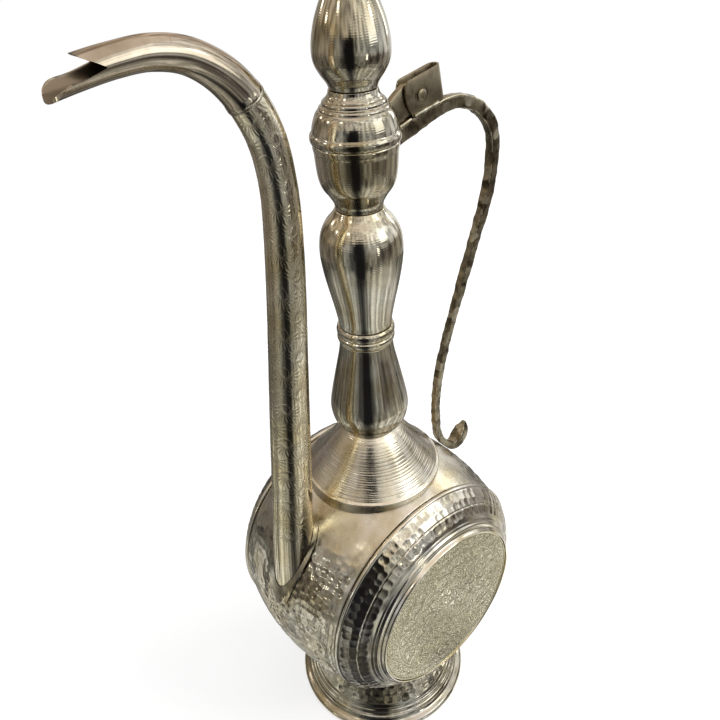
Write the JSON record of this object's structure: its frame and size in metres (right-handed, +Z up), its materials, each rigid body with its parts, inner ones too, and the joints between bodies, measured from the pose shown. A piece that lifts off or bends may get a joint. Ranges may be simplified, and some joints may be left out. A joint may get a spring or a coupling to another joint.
{
  "type": "brass ewer",
  "caption": "Islamic brass ewer: a round hammered flask with engraved discs on a flared foot, a tall turned neck, a swept spout, an arched handle and a hinged lid with a finial.",
  "frame": {"origin": "centre of the foot's underside, in the plane that the ewer stands on", "axes": "+Z up the neck; the spout points to -X and the handle to +X; the engraved discs face -Y and +Y"},
  "size_m": [0.2119, 0.1218, 0.4388],
  "materials": {
    "polished_brass": "polished pale brass, hammered or turned",
    "satin_brass": "satin brass with hammer dimples",
    "engraved_brass": "brass engraved with fine scrollwork, dark in the lines",
    "dark_brass": "tarnished square bar with hammer marks",
    "dull_brass": "dull, unpolished brass sheet"
  },
  "bodies": {
    "vessel": {"body_barrel": "satin_brass", "front_dish": "polished_brass", "back_dish": "polished_brass", "front_disc": "engraved_brass", "back_disc": "engraved_brass", "foot": "polished_brass", "base_plate": "dull_brass", "shoulder_cone": "polished_brass", "neck_lower_bulb": "polished_brass", "neck_ring": "polished_brass", "neck_upper_bulb": "polished_brass", "mouth_cup": "polished_brass", "spout_seat": "satin_brass", "spout_tube": "engraved_brass", "spout_beak": "polished_brass", "handle": "dark_brass", "hinge_strap": "dull_brass", "hinge_pin": "dull_brass"},
    "lid": {"lid_dome": "polished_brass", "lid_bezel": "dull_brass", "lid_tongue": "dull_brass", "finial_bulb": "polished_brass", "finial_tip": "polished_brass", "finial_stud": "dull_brass"}
  },
  "joints": [
    {"name": "lid_hinge", "type": "hinge", "parent": "vessel", "child": "lid", "pos_m": [0.0353, 0, 0.3724], "axis": [0, 1, 0], "range_deg": [0, 108]}
  ]
}
